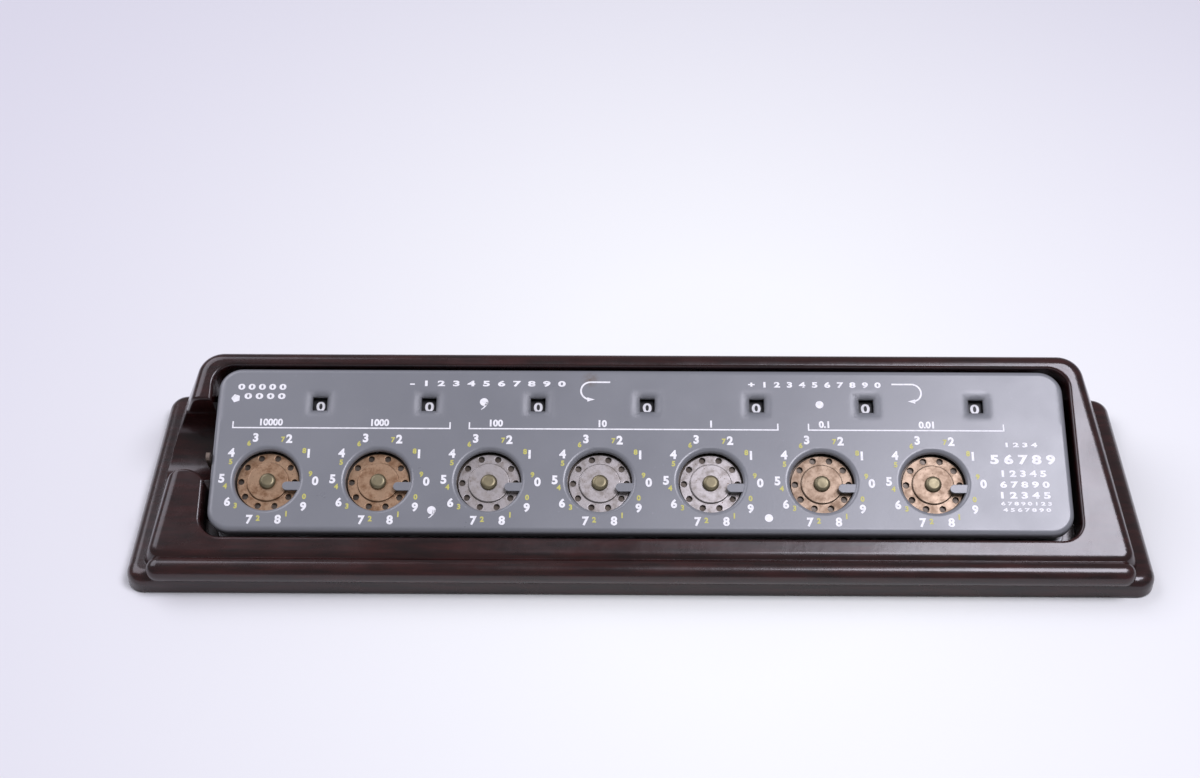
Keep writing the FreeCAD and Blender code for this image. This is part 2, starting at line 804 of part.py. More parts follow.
def face_panel():
    body = new_body("face_panel_body")
    outline = sketch(body)
    half = "(panel_width / 2)"
    rounded_rectangle(outline, f"-{half}", half, "0", "panel_length", "panel_corner")
    blank = pad(body, outline, "panel_flange")
    top = soften(body, blank, "panel_edge_round", lambda edge: edge.BoundBox.ZMin > -0.01)

    inner = sketch(body, "-panel_flange")
    sheet_in = f"({half} - panel_sheet)"
    ends = ("panel_sheet", "panel_length - panel_sheet")
    rounded_rectangle(inner, f"-{sheet_in}", sheet_in, *ends, "panel_corner - panel_sheet")
    hollow = cut(body, inner, "panel_flange - panel_sheet")
    hollow.Reversed = True
    ceiling = -number("panel_sheet")

    def inside_top(edge):
        box = edge.BoundBox
        return abs(box.ZMin - ceiling) < 0.01 and abs(box.ZMax - ceiling) < 0.01

    soften(body, hollow, "panel_edge_round - panel_sheet", inside_top)
    doc.recompute()

    across, up = dial_across(0), "dial_row"
    rim = sketch(body, "-panel_sheet / 2")
    circle(rim, across, up, "well_radius + well_collar_wall")
    collar = pad(body, rim, "well_collar_deep - panel_sheet / 2")
    bore = sketch(body)
    circle(bore, across, up, "well_radius")
    well = cut_through(body, bore)
    row_length = f"{DIALS - 1} * column_pitch"
    wells = along(body, [collar, well], row_length, DIALS)
    doc.recompute()
    low_edge = -0.01
    well_size = number("well_radius")

    def well_rim(edge):
        if not isinstance(edge.Curve, Part.Circle) or edge.BoundBox.ZMin < low_edge:
            return False
        return abs(edge.Curve.Radius - well_size) < 0.01

    soften(body, wells, "well_lip", well_rim)

    stop = sketch(body, "-stop_deep")
    stop_outline(stop, across, up)
    tongue = pad(body, stop, "stop_sheet")
    along(body, [tongue], row_length, DIALS)

    across, up = numeral_across(0), "dial_row + window_up"
    spot = (across, up)
    wide = ("panel_sheet / 2", "window_dish / 2 + panel_sheet")
    narrow = ("window_dish_deep + panel_sheet", "window_size / 2 + panel_sheet")
    under = funnel(body, "AdditiveLoft", spot, wide, narrow)
    wide = ("0", "window_dish / 2")
    narrow = ("window_dish_deep", "window_size / 2 + window_edge")
    over = funnel(body, "SubtractiveLoft", spot, wide, narrow)
    opening = sketch(body)
    half_window = "window_size / 2"
    rectangle(
        opening,
        f"{across} - {half_window}",
        f"{across} + {half_window}",
        f"{up} - {half_window}",
        f"{up} + {half_window}",
    )
    window = cut_through(body, opening)
    along(body, [under, over, window], row_length, DIALS)
    seat(body)
    return node(body, "face_panel")


def stop_outline(outline, across, up):
    # a tongue with a round tip that points from the well's wall over the hub
    half = "stop_width / 2"
    y = f"({up} - stop_drop)"
    tip = f"({across} + stop_reach + {half})"
    root = f"({across} + well_radius + well_collar_wall / 3)"
    cx, cy, radius, right = (number(text) for text in (tip, y, half, root))
    ring = Part.Circle(Vector(cx, cy, 0), Vector(0, 0, 1), radius)
    arc = outline.addGeometry(Part.ArcOfCircle(ring, math.pi / 2, 3 * math.pi / 2))
    corners = [(cx, cy - radius), (right, cy - radius), (right, cy + radius), (cx, cy + radius)]
    spots = [Vector(*corner, 0) for corner in corners]
    low, end, high = (
        outline.addGeometry(Part.LineSegment(*pair)) for pair in zip(spots, spots[1:])
    )
    outline.addConstraint(Sketcher.Constraint("Tangent", arc, 2, low, 1))
    outline.addConstraint(Sketcher.Constraint("Coincident", low, 2, end, 1))
    outline.addConstraint(Sketcher.Constraint("Coincident", end, 2, high, 1))
    outline.addConstraint(Sketcher.Constraint("Tangent", high, 2, arc, 1))
    outline.addConstraint(Sketcher.Constraint("Horizontal", low))
    outline.addConstraint(Sketcher.Constraint("Vertical", end))
    fix(outline, arc, 3, tip, y)
    made = outline.addConstraint(Sketcher.Constraint("Radius", arc, radius))
    bind(outline, f"Constraints[{made}]", half)
    made = outline.addConstraint(Sketcher.Constraint("DistanceX", -1, 1, end, 1, right))
    bind(outline, f"Constraints[{made}]", root)


def funnel(body, kind, spot, wide, narrow):
    across, up = spot
    outlines = []
    for level, half in (wide, narrow):
        outline = sketch(body, f"-({level})")
        rectangle(
            outline,
            f"{across} - ({half})",
            f"{across} + {half}",
            f"{up} - ({half})",
            f"{up} + {half}",
        )
        outlines.append(outline)
    made = body.newObject("PartDesign::" + kind, body.Name + "_funnel")
    made.Profile = outlines[0]
    made.Sections = [outlines[1]]
    made.Ruled = True
    return made


# Dials

def bore_through(body, radius):
    outline = sketch(body)
    circle(outline, "0", "0", radius)
    return cut_through(body, outline)


RUNNING_BORE = "pivot_radius + running_clearance"


def dial_disc(column):
    body = new_body(f"dial_disc_body_{column + 1}")
    stack(body, "disc_top", "disc_sheet", [(circle, "0", "0", "disc_radius")])
    hub = stack(body, "disc_top - hub_rise", "hub_rise", [(circle, "0", "0", "hub_radius")])
    crest = -number("disc_top - hub_rise")
    soften(body, hub, "hub_round", lambda edge: edge.BoundBox.ZMin > crest - 0.01)
    outline = sketch(body)
    circle(outline, "stylus_hole_ring", "0", "stylus_hole_radius")
    hole = cut_through(body, outline)
    around(body, [hole], outline, "stylus_holes")
    bore_through(body, RUNNING_BORE)
    seat(body, dial_across(column), "dial_row")
    return node(body, f"dial_disc_{column + 1}")


def toothed_ring(body, top, thick, radii, widths, count, turn):
    # a round blank with straight-flanked teeth, the first of them turned by "turn"
    root, tip = radii
    stack(body, top, thick, [(circle, "0", "0", root)])
    outline = sketch(body, f"-({top})", turn)
    start = f"({root} - tooth_overlap)"
    root_half, tip_half = (f"({width}) / 2" for width in widths)
    polygon(
        outline,
        (start, f"-{root_half}"),
        (tip, f"-{tip_half}"),
        (tip, tip_half),
        (start, root_half),
    )
    tooth = pad(body, outline, thick)
    return around(body, [tooth], outline, count)


def gear_ring(body, top, thick, turn):
    root = f"({GEAR_RADIUS} - gear_root_drop)"
    tip = f"({GEAR_RADIUS} + gear_tooth_height)"
    flank = "tan(pressure_angle)"
    root_width = f"gear_tooth_width + 2 * (gear_root_drop + tooth_overlap) * {flank}"
    tip_width = f"gear_tooth_width - 2 * gear_tooth_height * {flank}"
    toothed_ring(body, top, thick, (root, tip), (root_width, tip_width), "gear_teeth", turn)


def dial_gear(column):
    body = new_body(f"dial_gear_body_{column + 1}")
    gear_ring(body, GEAR_TOP, "dial_gear_thick", MESH_ANGLE)
    hub_length = f"{LUG_TOP} - layer_gap / 2 - {GEAR_BOTTOM}"
    stack(body, GEAR_BOTTOM, hub_length, [(circle, "0", "0", "inner_hub_radius")])
    bore_through(body, RUNNING_BORE)
    seat(body, dial_across(column), "dial_row")
    return node(body, f"dial_gear_{column + 1}")


def star_layer(column):
    return FIRST_LAYER if column % 2 == 0 else SECOND_LAYER


def carry_finger(column):
    # One long finger a turn. It lies in the layer of the star wheel to its left.
    body = new_body(f"carry_finger_body_{column + 1}")
    top = star_layer(column - 1)
    stack(body, top, "carry_layer", [(circle, "0", "0", "carry_ring_radius")])
    toward_star = "(180 deg - atan2(window_up - digit_ring; column_pitch - window_across))"
    outline = sketch(body, f"-({top})", f"({toward_star} - carry_lead * 1 deg)")
    start = "(carry_ring_radius - carry_overlap)"
    polygon(
        outline,
        (start, "-carry_base_width / 2"),
        ("carry_reach", "-carry_tip_width / 2"),
        ("carry_reach", "carry_tip_width / 2"),
        (start, "carry_base_width / 2"),
    )
    pad(body, outline, "carry_layer")
    bore_through(body, "inner_hub_radius")
    seat(body, dial_across(column), "dial_row")
    return node(body, f"carry_finger_{column + 1}")


def turned_pivots(name, across, up, steps):
    # seven alike, each a pile of round steps given as (radius, top, bottom)
    body = new_body(name)
    for radius, top, bottom in steps:
        outline = sketch(body, f"-({top})")
        for column in range(DIALS):
            circle(outline, across(column), up, radius)
        last = pad(body, outline, f"({bottom}) - ({top})")
    seat(body)
    return body, last


def dial_pivots():
    dome_base = "(disc_top - hub_rise - end_play)"
    steps = (
        ("dial_shoulder_radius", f"{LUG_TOP} - layer_gap / 2 + end_play", PLATE_TOP),
        ("pivot_radius", dome_base, PLATE_BOTTOM),
        ("dome_radius", f"{dome_base} - dome_height", dome_base),
    )
    body, last = turned_pivots("dial_pivots_body", dial_across, "dial_row", steps)
    crown = -number(f"{dome_base} - dome_height")
    soften(body, last, "dome_height - dome_flat", lambda edge: edge.BoundBox.ZMin > crown - 0.01)
    return node(body, "dial_pivots")


# Numeral wheels

def numeral_disc(column):
    body = new_body(f"numeral_disc_body_{column + 1}")
    stack(body, "disc_top", "numeral_disc_thick", [(circle, "0", "0", "numeral_disc_radius")])
    bore_through(body, RUNNING_BORE)
    seat(body, numeral_across(column), NUMERAL_ROW)
    return node(body, f"numeral_disc_{column + 1}")


def star_turn():
    # a gap of the star faces the dial to its right, so the first point stands half a step on
    return "(atan2(digit_ring - window_up; column_pitch - window_across) + 180 deg / star_points)"


def numeral_gear(column):
    body = new_body(f"numeral_gear_body_{column + 1}")
    thick = f"{GEAR_BOTTOM} - {NUMERAL_GEAR_TOP}"
    gear_ring(body, NUMERAL_GEAR_TOP, thick, f"({MESH_ANGLE} + 180 deg / gear_teeth)")
    hub_length = f"{LUG_TOP} - {GEAR_BOTTOM}"
    stack(body, GEAR_BOTTOM, hub_length, [(circle, "0", "0", "inner_hub_radius")])
    widths = ("star_base_width", "star_tip_width")
    top = star_layer(column)
    toothed_ring(body, top, "carry_layer", ("star_root", "star_tip"), widths, "star_points", star_turn())
    stack(body, LUG_TOP, "zero_lug_thick", [(circle, "0", "0", "inner_hub_radius")])
    lug = sketch(body, f"-({LUG_TOP})", LUG_ANGLE)
    half = "zero_lug_width / 2"
    rectangle(lug, "inner_hub_radius / 2", "zero_lug_reach", f"-{half}", half)
    pad(body, lug, "zero_lug_thick")
    bore_through(body, RUNNING_BORE)
    seat(body, numeral_across(column), NUMERAL_ROW)
    return node(body, f"numeral_gear_{column + 1}")


def numeral_pivots():
    head_bottom = "(disc_top - end_play)"
    steps = (
        ("numeral_shoulder_radius", f"{LUG_BOTTOM} + end_play", PLATE_TOP),
        ("pivot_radius", head_bottom, PLATE_BOTTOM),
        ("numeral_head_radius", f"{head_bottom} - numeral_head_thick", head_bottom),
    )
    body, _ = turned_pivots("numeral_pivots_body", numeral_across, NUMERAL_ROW, steps)
    return node(body, "numeral_pivots")


# Detent springs: a leaf with a nose that rests between two points of the star wheel

def detent_spring(column):
    body = new_body(f"detent_spring_body_{column + 1}")
    top = star_layer(column)
    nose_turn = f"({star_turn()} + 7 * 180 deg / star_points)"
    nose_x = f"detent_nose_reach * cos({nose_turn})"
    nose_y = f"detent_nose_reach * sin({nose_turn})"
    low, high = "detent_up", "(detent_up + detent_strip)"
    outline = sketch(body, f"-({top})")
    polygon(
        outline,
        (f"{nose_x} - detent_tail", high),
        (f"{nose_x} - detent_tail", low),
        (f"{nose_x} - detent_nose_width / 2", low),
        (nose_x, nose_y),
        (f"{nose_x} + detent_nose_width / 2", low),
        ("detent_end", low),
        ("detent_end", high),
    )
    pad(body, outline, "carry_layer")
    rise = (rectangle, "detent_end - detent_riser", "detent_end", low, high)
    stack(body, top, f"{PLATE_TOP} - {top}", [rise])
    left = "(detent_end - detent_riser)"
    foot = (rectangle, left, f"{left} + detent_foot", f"{high} - detent_foot", high)
    hole = (circle, f"{left} + detent_foot / 2", f"{high} - detent_foot / 2", "rivet_radius")
    stack(body, f"{PLATE_TOP} - detent_strip", "detent_strip", [foot, hole])
    seat(body, numeral_across(column), NUMERAL_ROW)
    return node(body, f"detent_spring_{column + 1}")


def rivet_spot(column):
    across = f"({numeral_across(column)} + detent_end - detent_riser + detent_foot / 2)"
    up = f"({NUMERAL_ROW} + detent_up + detent_strip - detent_foot / 2)"
    return across, up


def detent_rivets():
    body = new_body("detent_rivets_body")
    for radius, top, thick in (
        ("rivet_head_radius", f"{PLATE_TOP} - detent_strip - rivet_head_thick", "rivet_head_thick"),
        ("rivet_radius", f"{PLATE_TOP} - detent_strip", f"{PLATE_BOTTOM} - {PLATE_TOP} + detent_strip"),
    ):
        outline = sketch(body, f"-({top})")
        for column in range(DIALS):
            circle(outline, *rivet_spot(column), radius)
        pad(body, outline, thick)
    seat(body)
    return node(body, "detent_rivets")


# Mechanism plate, posts and screws

def post_spots():
    low = [(between_dials(column), "post_low") for column in POST_COLUMNS]
    high = [(between_numerals(column), "post_high") for column in POST_COLUMNS]
    return low + high


def guide_spots():
    return [(between_numerals(column), "guide_row") for column in GUIDE_COLUMNS]


def mechanism_plate():
    body = new_body("mechanism_plate_body")
    outline = sketch(body, f"-({PLATE_TOP})")
    side = "plate_half_width"
    rounded_rectangle(outline, f"-{side}", side, "plate_low", "plate_high", "plate_corner")
    for column in range(DIALS):
        circle(outline, dial_across(column), "dial_row", "pivot_radius")
        circle(outline, numeral_across(column), NUMERAL_ROW, "pivot_radius")
        circle(outline, *rivet_spot(column), "rivet_radius")
    for across, up in post_spots():
        circle(outline, across, up, "post_bore + screw_clearance")
    for across, up in guide_spots():
        circle(outline, across, up, "post_bore + screw_clearance")
    for across, up in mount_screw_spots():
        circle(outline, across, up, "post_bore")
    circle(outline, "spring_across", "spring_plate_pin", "spring_pin_radius")
    pad(body, outline, "plate_thick")
    slots = sketch(body)
    for column in range(DIALS):
        half = "(zero_finger_width / 2 + zero_slot_air)"
        across = numeral_across(column)
        low = f"{FINGER_LOW} - clear_stroke - zero_slot_air"
        high = f"{FINGER_LOW} + zero_finger_thick + zero_slot_air"
        rectangle(slots, f"{across} - {half}", f"{across} + {half}", low, high)
    cut_through(body, slots)
    seat(body)
    return node(body, "mechanism_plate")


def spacer_posts():
    body = new_body("spacer_posts_body")
    outline = sketch(body, "-panel_sheet")
    for across, up in post_spots():
        circle(outline, across, up, "post_radius")
        circle(outline, across, up, "post_bore")
    pad(body, outline, f"{PLATE_TOP} - panel_sheet")
    seat(body)
    return node(body, "spacer_posts")


def screws(label, spots, steps):
    body = new_body(label + "_body")
    for radius, top, bottom in steps:
        outline = sketch(body, f"-({top})")
        for across, up in spots:
            circle(outline, across, up, radius)
        pad(body, outline, f"({bottom}) - ({top})")
    seat(body)
    return node(body, label)


def post_screws():
    head = ("screw_head_radius", PLATE_BOTTOM, f"{PLATE_BOTTOM} + screw_head_thick")
    shank = ("post_bore", f"{PLATE_TOP} - post_screw_grip", PLATE_BOTTOM)
    return screws("post_screws", post_spots(), (shank, head))


def mount_screws():
    under = f"({PLATE_BOTTOM} + lug_thick)"
    head = ("screw_head_radius", under, f"{under} + screw_head_thick")
    shank = ("post_bore", PLATE_TOP, under)
    return screws("mount_screws", mount_screw_spots(), (shank, head))


def guide_screws():
    under = f"({BAR_BOTTOM} + clear_air)"
    head = ("guide_head_radius", under, f"{under} + guide_head_thick")
    shoulder = ("guide_radius", PLATE_BOTTOM, under)
    thread = ("post_bore + screw_clearance", PLATE_TOP, PLATE_BOTTOM)
    return screws("guide_screws", guide_spots(), (thread, shoulder, head))


# Zero setting bar: pulled toward the user, it puts a finger in the way of every zero lug

def clear_bar():
    body = new_body("clear_bar_body")
    outline = sketch(body, f"-({BAR_TOP})")
    left = f"(-{RECESS_SIDE} + tab_wall_air)"
    arm_right = f"({left} + arm_width)"
    right = f"({numeral_across(DIALS - 1)} + bar_right_over)"
    polygon(
        outline,
        (left, "arm_low"),
        (arm_right, "arm_low"),
        (arm_right, "bar_low"),
        (right, "bar_low"),
        (right, "bar_high"),
        (left, "bar_high"),
    )
    for across, up in guide_spots():
        low = up
        high = f"({up} + clear_stroke)"
        slot(outline, across, low, high, "guide_radius + guide_slot_air")
    pad(body, outline, "bar_thick")
    fingers = sketch(body, f"-({LUG_TOP})")
    for column in range(DIALS):
        across = numeral_across(column)
        rectangle(
            fingers,
            f"{across} - zero_finger_width / 2",
            f"{across} + zero_finger_width / 2",
            FINGER_LOW,
            f"{FINGER_LOW} + zero_finger_thick",
        )
    pad(body, fingers, f"{BAR_TOP} - {LUG_TOP} + bar_thick / 2")
    pin = (circle, "spring_across", "spring_bar_pin", "spring_pin_radius")
    stack(body, BAR_BOTTOM, "spring_pin_length", [pin])
    seat(body)
    return node(body, "clear_bar")


def clear_tab():
    # a thumb tab that stands up through the gap beside the panel
    body = new_body("clear_tab_body")
    outline = sketch(body, f"-{RECESS_SIDE} + tab_wall_air", role="YZ_Plane")
    high = "(tab_low + tab_length)"
    polygon(
        outline,
        ("tab_low", f"-({BAR_TOP})"),
        (high, f"-({BAR_TOP})"),
        (high, "tab_rise"),
        ("tab_low", "tab_rise"),
    )
    raised = pad(body, outline, "tab_thick")
    raised.Reversed = False
    crown = number("tab_rise")

    def top_edge(edge):
        return edge.BoundBox.ZMin > crown - 0.01 and edge.BoundBox.XLength > 0.5

    soften(body, raised, "tab_round", top_edge)
    seat(body)
    return node(body, "clear_tab")


def spring_anchor():
    pin = ("spring_pin_radius", PLATE_TOP, f"{BAR_BOTTOM} + spring_pin_length")
    return screws("spring_anchor", [("spring_across", "spring_plate_pin")], (pin,))


def coil_path(radius, turns, start, length, deep):
    # quarter-turn arcs through points of a helix that runs up the slope
    steps = 8 * turns
    spots = []
    for step in range(steps + 1):
        angle = math.radians(45 * step)
        x = radius * math.cos(angle)
        z = radius * math.sin(angle) - deep
        spots.append(Vector(x, start + length * step / steps, z))
    quarters = zip(spots[:-2:2], spots[1:-1:2], spots[2::2])
    return Part.Wire([Part.Arc(*quarter).toShape() for quarter in quarters])


def clear_spring():
    # an extension spring: a ring round each pin and a coil between them
    wire = number("spring_wire")
    coil = number("spring_coil_radius")
    low = number("spring_bar_pin")
    high = number("spring_plate_pin")
    deep = number(f"{BAR_BOTTOM} + spring_deep")
    lead = coil + 4 * wire
    length = high - low - 2 * lead
    path = coil_path(coil, int(number("spring_turns")), low + lead, length, deep)
    first = path.Edges[0]
    last = path.Edges[-1]
    begin = first.valueAt(first.FirstParameter)
    finish = last.valueAt(last.LastParameter)
    section = Part.makeCircle(wire, begin, first.tangentAt(first.FirstParameter))
    shapes = [path.makePipeShell([Part.Wire(section)], True, False)]
    for pin, side, end in ((low, 1, begin), (high, -1, finish)):
        centre = Vector(0, pin, -deep)
        near = centre + Vector(0, side * coil, 0)
        link = end - near
        shapes.append(Part.makeTorus(coil, wire, centre, Vector(0, 0, 1)))
        shapes.append(Part.makeCylinder(0.9 * wire, link.Length, near, link))
        shapes.append(Part.makeSphere(1.3 * wire, end))
    made = doc.addObject("Part::Feature", "clear_spring_shape")
    made.Shape = shapes[0].multiFuse(shapes[1:])
    seat(made, "spring_across")
    return node(made, "clear_spring")


case()
bottom_cover()
cover_screws()
rubber_feet()
face_panel()
mechanism_plate()
spacer_posts()
post_screws()
mount_screws()
dial_pivots()
numeral_pivots()
for column in range(DIALS):
    dial_disc(column)
    dial_gear(column)
    numeral_disc(column)
    numeral_gear(column)
    detent_spring(column)
for column in range(1, DIALS):
    carry_finger(column)
detent_rivets()
clear_bar()
clear_tab()
guide_screws()
spring_anchor()
clear_spring()
doc.recompute()

failed = [thing.Name for thing in doc.Objects if {"Invalid", "Error"} & set(thing.State)]
if failed:
    raise RuntimeError("could not be built: " + ", ".join(failed))
os.makedirs("parts", exist_ok=True)
for piece in pieces:
    if piece.Shape.isNull() or not piece.Shape.isValid():
        raise RuntimeError(f"{piece.Label} has no sound shape")
    piece.Shape.exportStep(f"parts/{piece.Label}.step")
    print(f"{piece.Label}: {len(piece.Shape.Solids)} solids, {piece.Shape.Volume:.1f} mm3")
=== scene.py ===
import math
import bmesh
import bpy
from mathutils import Matrix, Vector


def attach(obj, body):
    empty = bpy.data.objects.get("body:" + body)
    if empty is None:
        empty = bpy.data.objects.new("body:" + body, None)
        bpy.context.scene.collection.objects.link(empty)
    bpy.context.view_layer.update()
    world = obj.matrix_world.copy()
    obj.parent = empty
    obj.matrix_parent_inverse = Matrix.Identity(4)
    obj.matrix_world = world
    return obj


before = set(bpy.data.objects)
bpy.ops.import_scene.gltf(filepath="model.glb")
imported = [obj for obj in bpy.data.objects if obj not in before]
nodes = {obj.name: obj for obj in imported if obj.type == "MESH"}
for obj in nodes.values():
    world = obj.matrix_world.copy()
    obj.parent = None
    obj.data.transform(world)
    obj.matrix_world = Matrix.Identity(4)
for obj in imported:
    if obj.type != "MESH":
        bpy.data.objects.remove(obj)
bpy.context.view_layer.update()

mm = 0.001
dialCount = 7
print("frame loaded,", len(nodes), "nodes")


# The sloping panel's own axes: across, up the slope, and out of the paint

slope = {
    "tilt": 25.2,
    "foot": (0, -0.0317, 0.0155),
    "firstDial": -117.4,
    "pitch": 34.95,
    "dialRow": 17.5,
    "windowAcross": 15.0,
    "wheelRow": 35.95,
    "windowRow": 43.75,
}
onSlope = Matrix.Translation(slope["foot"]) @ Matrix.Rotation(math.radians(slope["tilt"]), 4, "X")


def dialAcross(number):
    return slope["firstDial"] + slope["pitch"] * (number - 1)


# Materials

def newMaterial(name):
    material = bpy.data.materials.new(name)
    material.use_nodes = True
    return material, material.node_tree, material.node_tree.nodes["Principled BSDF"]


def addNode(tree, kind, values=None, **settings):
    node = tree.nodes.new(kind)
    for key, value in settings.items():
        setattr(node, key, value)
    for key, value in (values or {}).items():
        node.inputs[key].default_value = value
    return node


def placeOn(tree, move=(0, 0, 0), turn=0, scale=(1, 1, 1)):
    coords = addNode(tree, "ShaderNodeTexCoord")
    mapping = addNode(tree, "ShaderNodeMapping", vector_type="TEXTURE")
    mapping.inputs["Location"].default_value = move
    mapping.inputs["Rotation"].default_value = (math.radians(turn), 0, 0)
    mapping.inputs["Scale"].default_value = scale
    tree.links.new(coords.outputs["Object"], mapping.inputs["Vector"])
    return mapping.outputs["Vector"]


def noise(tree, place, size, detail=3, roughness=0.55):
    node = addNode(tree, "ShaderNodeTexNoise", {"Scale": 1 / size, "Detail": detail, "Roughness": roughness})
    tree.links.new(place, node.inputs["Vector"])
    return node.outputs["Fac"]


def ramp(tree, source, *stops):
    node = addNode(tree, "ShaderNodeValToRGB")
    band = node.color_ramp
    for index, (position, colour) in enumerate(stops):
        point = band.elements[index] if index < 2 else band.elements.new(position)
        point.position = position
        point.color = (*colour, 1)
    tree.links.new(source, node.inputs["Fac"])
    return node.outputs["Color"]


def span(tree, source, low, high, fromLow=0.0, fromHigh=1.0):
    limits = {"From Min": fromLow, "From Max": fromHigh, "To Min": low, "To Max": high}
    node = addNode(tree, "ShaderNodeMapRange", limits)
    tree.links.new(source, node.inputs["Value"])
    return node.outputs["Result"]


def blendColour(tree, share, first, second, kind="MIX"):
    node = addNode(tree, "ShaderNodeMix", data_type="RGBA", blend_type=kind)
    for socket, value in ((node.inputs[0], share), (node.inputs[6], first), (node.inputs[7], second)):
        if isinstance(value, bpy.types.NodeSocket):
            tree.links.new(value, socket)
        elif isinstance(value, tuple):
            socket.default_value = (*value, 1)
        else:
            socket.default_value = value
    return node.outputs[2]


def bump(tree, shader, source, depth, strength=1.0, soften=None):
    # a rounded edge under the fine relief, where the piece's edges are soft
    node = addNode(tree, "ShaderNodeBump", {"Strength": strength, "Distance": depth})
    tree.links.new(source, node.inputs["Height"])
    if soften:
        edge = addNode(tree, "ShaderNodeBevel", samples=8)
        if isinstance(soften, bpy.types.NodeSocket):
            tree.links.new(soften, edge.inputs["Radius"])
        else:
            edge.inputs["Radius"].default_value = soften * mm
        tree.links.new(edge.outputs["Normal"], node.inputs["Normal"])
    tree.links.new(node.outputs["Normal"], shader.inputs["Normal"])


mouldedCase = {
    "dark": (0.0115, 0.0030, 0.0028),
    "swirl": (0.0360, 0.0078, 0.0070),
    "grain": (7.0, 1.0, 1.0),
    "grainSize": 0.0022,
    "gloss": 0.20,
    "dull": 0.34,
    "coat": 0.35,
    "coatRough": 0.10,
    "handlingSize": 0.024,
    "rippleSize": 0.0045,
    "rippleDepth": 0.00005,
    "edge": 0.6,
}


def mouldedPlastic():
    material, tree, shader = newMaterial("mouldedPlastic")
    long = placeOn(tree, scale=mouldedCase["grain"])
    place = placeOn(tree)
    swirl = noise(tree, long, mouldedCase["grainSize"], 6, 0.62)
    colour = ramp(tree, swirl, (0.36, mouldedCase["dark"]), (0.68, mouldedCase["swirl"]))
    tree.links.new(colour, shader.inputs["Base Color"])
    handling = noise(tree, place, mouldedCase["handlingSize"], 5, 0.6)
    rough = span(tree, handling, mouldedCase["gloss"], mouldedCase["dull"], 0.35, 0.7)
    tree.links.new(rough, shader.inputs["Roughness"])
    shader.inputs["Coat Weight"].default_value = mouldedCase["coat"]
    shader.inputs["Coat Roughness"].default_value = mouldedCase["coatRough"]
    ripple = noise(tree, place, mouldedCase["rippleSize"], 3)
    bump(tree, shader, ripple, mouldedCase["rippleDepth"], soften=mouldedCase["edge"])
    return material


panelPaint = {
    "colour": (0.192, 0.199, 0.216),
    "worn": (0.211, 0.219, 0.236),
    "speck": (0.27, 0.27, 0.30),
    "stain": (0.14, 0.105, 0.080),
    "stainAt": (-15.8, 52.4),
    "stainReach": 3.2,
    "cloudSize": 0.045,
    "speckSize": 0.0009,
    "handlingSize": 0.018,
    "grainSize": 0.0008,
    "grainDepth": 0.000014,
    "gloss": 0.27,
    "dull": 0.36,
    "sheen": 0.8,
    "edge": 0.25,
    "dishEdge": 2.8,
    "dishReach": (5.6, 7.4),
}


def panelEnamel():
    material, tree, shader = newMaterial("panelEnamel")
    place = placeOn(tree)
    cloud = noise(tree, place, panelPaint["cloudSize"], 5, 0.6)
    colour = ramp(tree, cloud, (0.3, panelPaint["colour"]), (0.75, panelPaint["worn"]))
    dust = noise(tree, place, panelPaint["speckSize"], 2)
    specks = ramp(tree, dust, (0.72, (0, 0, 0)), (0.80, (1, 1, 1)))
    colour = blendColour(tree, specks, colour, panelPaint["speck"])
    # a small brown stain above the third and fourth windows
    across, up = panelPaint["stainAt"]
    spot = addNode(tree, "ShaderNodeTexGradient", gradient_type="SPHERICAL")
    centre = onSlope @ Vector((across * mm, up * mm, 0))
    reach = (panelPaint["stainReach"] * mm,) * 3
    tree.links.new(placeOn(tree, centre, slope["tilt"], reach), spot.inputs["Vector"])
    edge = span(tree, noise(tree, place, 0.0011, 3), 0.2, 1.0, 0.35, 0.65)
    share = addNode(tree, "ShaderNodeMath", operation="MULTIPLY")
    tree.links.new(spot.outputs["Fac"], share.inputs[0])
    tree.links.new(edge, share.inputs[1])
    colour = blendColour(tree, share.outputs["Value"], colour, panelPaint["stain"])
    tree.links.new(colour, shader.inputs["Base Color"])
    shader.inputs["Specular IOR Level"].default_value = panelPaint["sheen"]
    handling = noise(tree, place, panelPaint["handlingSize"], 5)
    rough = span(tree, handling, panelPaint["gloss"], panelPaint["dull"], 0.3, 0.7)
    tree.links.new(rough, shader.inputs["Roughness"])
    # the pressed window dishes have softer edges than the wells and the border
    row = placeOn(tree, onSlope @ Vector((0, slope["windowRow"] * mm, 0)), slope["tilt"])
    split = addNode(tree, "ShaderNodeSeparateXYZ")
    away = addNode(tree, "ShaderNodeMath", operation="ABSOLUTE")
    tree.links.new(row, split.inputs[0])
    tree.links.new(split.outputs["Y"], away.inputs[0])
    near, far = (reach * mm for reach in panelPaint["dishReach"])
    radius = span(tree, away.outputs[0], panelPaint["dishEdge"] * mm, panelPaint["edge"] * mm, near, far)
    bump(tree, shader, noise(tree, place, panelPaint["grainSize"], 3), panelPaint["grainDepth"], soften=radius)
    return material


# Metals: turned or pressed faces with stains, in each dial's own tone

copper = {"bright": (0.41, 0.270, 0.170), "stained": (0.20, 0.110, 0.058)}
palerCopper = {"bright": (0.29, 0.215, 0.155), "stained": (0.20, 0.135, 0.090)}
zinc = {"bright": (0.39, 0.365, 0.355), "stained": (0.25, 0.225, 0.205)}
dialTones = {1: copper, 2: copper, 3: zinc, 4: zinc, 5: zinc, 6: palerCopper, 7: palerCopper}
agedMetal = {
    "stainSize": 0.0030,
    "pitSize": 0.00055,
    "pit": (0.10, 0.055, 0.035),
    "metal": 0.85,
    "smooth": 0.36,
    "rough": 0.52,
    "grainSize": 0.0004,
    "grainDepth": 0.000016,
    "shift": 0.02,
    "edge": 0.3,
}


